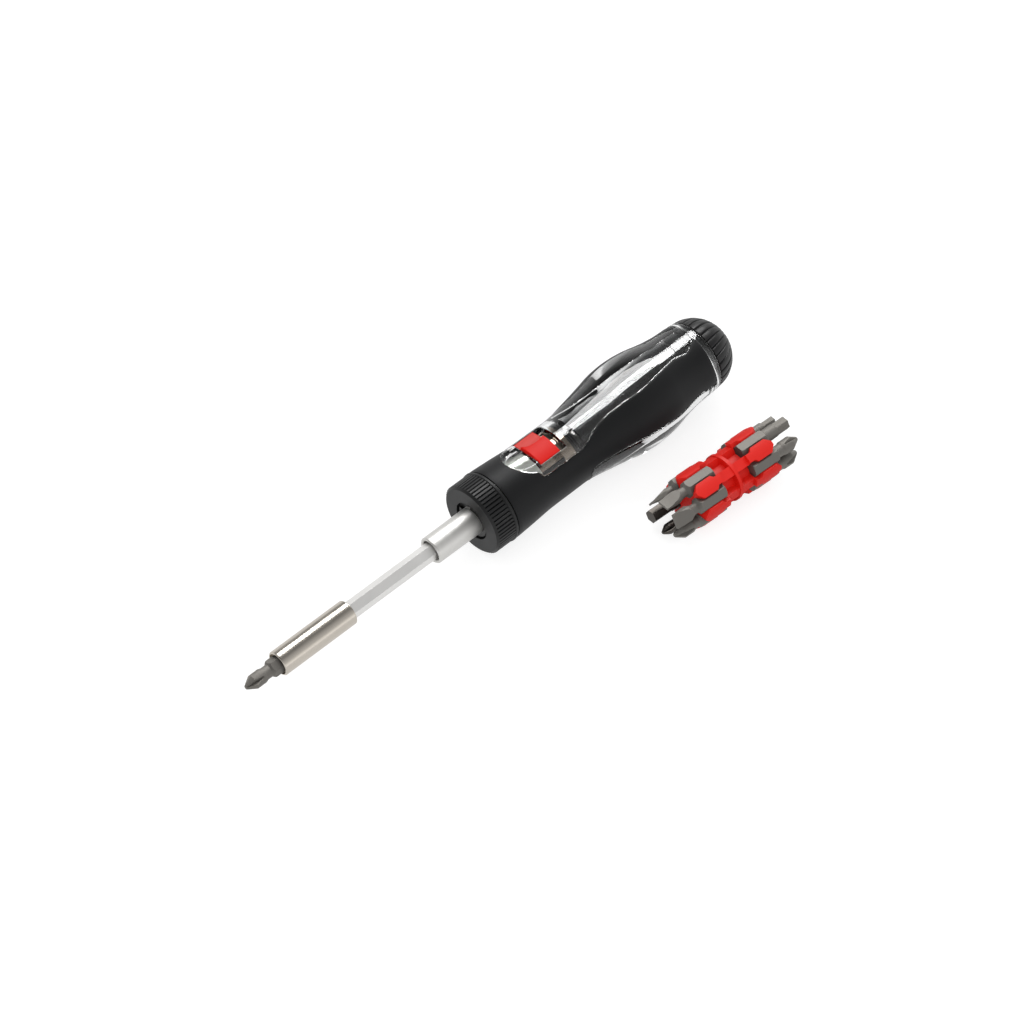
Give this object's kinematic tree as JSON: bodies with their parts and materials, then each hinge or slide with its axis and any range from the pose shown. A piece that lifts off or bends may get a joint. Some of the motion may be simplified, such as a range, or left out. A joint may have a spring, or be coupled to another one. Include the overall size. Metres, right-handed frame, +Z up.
{
  "type": "ratcheting screwdriver",
  "caption": "Reversible ratcheting screwdriver with a clear handle, black soft grip, red thumb release, telescoping hex blade and a loose red magazine of double-row bits.",
  "frame": {"origin": "on the drive axis, in the front face of the selector ring, where the guide sleeve leaves it", "axes": "+X along the drive axis towards the bit, +Z up from the surface that the tool lies on, with the soft grip's belly lowest"},
  "size_m": [0.2481, 0.0774, 0.0394],
  "materials": {
    "clear_plastic": "clear, polished",
    "grip_rubber": "matt, fine grain",
    "black_plastic": "satin",
    "housing_steel": "bright zinc plate",
    "hardened_steel": "ground",
    "spring_steel": "drawn wire",
    "satin_chrome": "satin chrome plate",
    "bright_chrome": "polished chrome plate",
    "black_steel": "black oxide, oiled",
    "sintered_steel": "sintered, oiled",
    "red_plastic": "moulded, satin",
    "rolled_steel": "rolled sheet, satin",
    "magnet": "nickel plate",
    "bit_steel": "blasted tool steel",
    "dark_bit_steel": "dark oxide tool steel",
    "dome_rubber": "satin"
  },
  "bodies": {
    "handle": {"handle_shell": "clear_plastic", "chamber_liner": "black_plastic", "grip_overmould": "grip_rubber", "ratchet_housing": "housing_steel", "cover_plate": "housing_steel", "thrust_washer": "hardened_steel", "rear_bush": "sintered_steel", "pawl_pins": "hardened_steel", "detent_ball": "hardened_steel", "detent_spring": "spring_steel", "lock_spring": "spring_steel"},
    "spindle": {"spindle_tube": "satin_chrome", "ratchet_gear": "hardened_steel", "retaining_clip": "black_steel", "lock_balls": "hardened_steel"},
    "selector": {"selector_ring": "black_plastic"},
    "left_pawl": {"pawl_left": "hardened_steel", "pawl_spring_left": "spring_steel"},
    "right_pawl": {"pawl_right": "hardened_steel", "pawl_spring_right": "spring_steel"},
    "blade": {"hex_blade": "satin_chrome", "bit_holder": "rolled_steel", "holder_socket": "hardened_steel", "holder_magnet": "magnet"},
    "seated_bit": {"drive_bit": "bit_steel"},
    "slider": {"release_slider": "red_plastic", "lock_collar": "bright_chrome"},
    "cap": {"cap_carrier": "black_plastic", "cap_dome": "dome_rubber"},
    "magazine": {"magazine_body": "red_plastic"},
    "bit_slot_6": {"bit_slot_6": "bit_steel"},
    "bit_slot_5": {"bit_slot_5": "bit_steel"},
    "bit_slot_4": {"bit_slot_4": "bit_steel"},
    "bit_hex_5": {"bit_hex_5": "dark_bit_steel"},
    "bit_cross_1": {"bit_cross_1": "dark_bit_steel"},
    "bit_cross_3": {"bit_cross_3": "bit_steel"},
    "bit_double_cross_2": {"bit_double_cross_2": "bit_steel"},
    "bit_hexalobe_30": {"bit_hexalobe_30": "bit_steel"},
    "bit_hexalobe_20": {"bit_hexalobe_20": "bit_steel"},
    "bit_hex_4": {"bit_hex_4": "bit_steel"},
    "bit_hexalobe_10": {"bit_hexalobe_10": "bit_steel"},
    "bit_double_cross_3": {"bit_double_cross_3": "bit_steel"}
  },
  "joints": [
    {"name": "spindle_spin", "type": "hinge", "parent": "handle", "child": "spindle", "pos_m": [0, 0, 0], "axis": [1, 0, 0], "continuous": true},
    {"name": "selector_turn", "type": "hinge", "parent": "handle", "child": "selector", "pos_m": [0, 0, 0], "axis": [1, 0, 0], "range_deg": [-8, 8]},
    {"name": "pawl_left_pivot", "type": "hinge", "parent": "handle", "child": "left_pawl", "pos_m": [-0.0064, 0.00781, 0.00656], "axis": [1, 0, 0], "range_deg": [-17.6, 17.6]},
    {"name": "pawl_right_pivot", "type": "hinge", "parent": "handle", "child": "right_pawl", "pos_m": [-0.0064, 0.00781, -0.00656], "axis": [1, 0, 0], "range_deg": [-17.6, 17.6]},
    {"name": "blade_slide", "type": "slide", "parent": "spindle", "child": "blade", "axis": [-1, 0, 0], "range_m": [0, 0.026]},
    {"name": "bit_slide", "type": "slide", "parent": "blade", "child": "seated_bit", "axis": [1, 0, 0], "range_m": [0, 0.012]},
    {"name": "slider_slide", "type": "slide", "parent": "handle", "child": "slider", "axis": [-1, 0, 0], "range_m": [0, 0.0028], "stiffness_N_per_m": 1200, "springref_m": -0.002, "deforming": ["lock_spring"]},
    {"name": "cap_slide", "type": "slide", "parent": "handle", "child": "cap", "axis": [-1, 0, 0], "range_m": [0, 0.036]},
    {"name": "magazine_lift", "type": "slide", "parent": "handle", "child": "magazine", "axis": [-0.0487, 0, 0.9988], "range_m": [0, 0.05]},
    {"name": "bit_slot_6_slide", "type": "slide", "parent": "magazine", "child": "bit_slot_6", "axis": [0.9986, -0.0209, 0.0487], "range_m": [0, 0.018]},
    {"name": "bit_slot_5_slide", "type": "slide", "parent": "magazine", "child": "bit_slot_5", "axis": [0.9986, -0.0209, 0.0487], "range_m": [0, 0.018]},
    {"name": "bit_slot_4_slide", "type": "slide", "parent": "magazine", "child": "bit_slot_4", "axis": [0.9986, -0.0209, 0.0487], "range_m": [0, 0.018]},
    {"name": "bit_hex_5_slide", "type": "slide", "parent": "magazine", "child": "bit_hex_5", "axis": [0.9986, -0.0209, 0.0487], "range_m": [0, 0.018]},
    {"name": "bit_cross_1_slide", "type": "slide", "parent": "magazine", "child": "bit_cross_1", "axis": [0.9986, -0.0209, 0.0487], "range_m": [0, 0.018]},
    {"name": "bit_cross_3_slide", "type": "slide", "parent": "magazine", "child": "bit_cross_3", "axis": [0.9986, -0.0209, 0.0487], "range_m": [0, 0.018]},
    {"name": "bit_double_cross_2_slide", "type": "slide", "parent": "magazine", "child": "bit_double_cross_2", "axis": [-0.9986, 0.0209, -0.0487], "range_m": [0, 0.018]},
    {"name": "bit_hexalobe_30_slide", "type": "slide", "parent": "magazine", "child": "bit_hexalobe_30", "axis": [-0.9986, 0.0209, -0.0487], "range_m": [0, 0.018]},
    {"name": "bit_hexalobe_20_slide", "type": "slide", "parent": "magazine", "child": "bit_hexalobe_20", "axis": [-0.9986, 0.0209, -0.0487], "range_m": [0, 0.018]},
    {"name": "bit_hex_4_slide", "type": "slide", "parent": "magazine", "child": "bit_hex_4", "axis": [-0.9986, 0.0209, -0.0487], "range_m": [0, 0.018]},
    {"name": "bit_hexalobe_10_slide", "type": "slide", "parent": "magazine", "child": "bit_hexalobe_10", "axis": [-0.9986, 0.0209, -0.0487], "range_m": [0, 0.018]},
    {"name": "bit_double_cross_3_slide", "type": "slide", "parent": "magazine", "child": "bit_double_cross_3", "axis": [-0.9986, 0.0209, -0.0487], "range_m": [0, 0.018]}
  ],
  "couplings": [
    {"joint": "pawl_left_pivot", "follows": "selector_turn", "ratio": -2.1875},
    {"joint": "pawl_right_pivot", "follows": "selector_turn", "ratio": -2.1875}
  ]
}
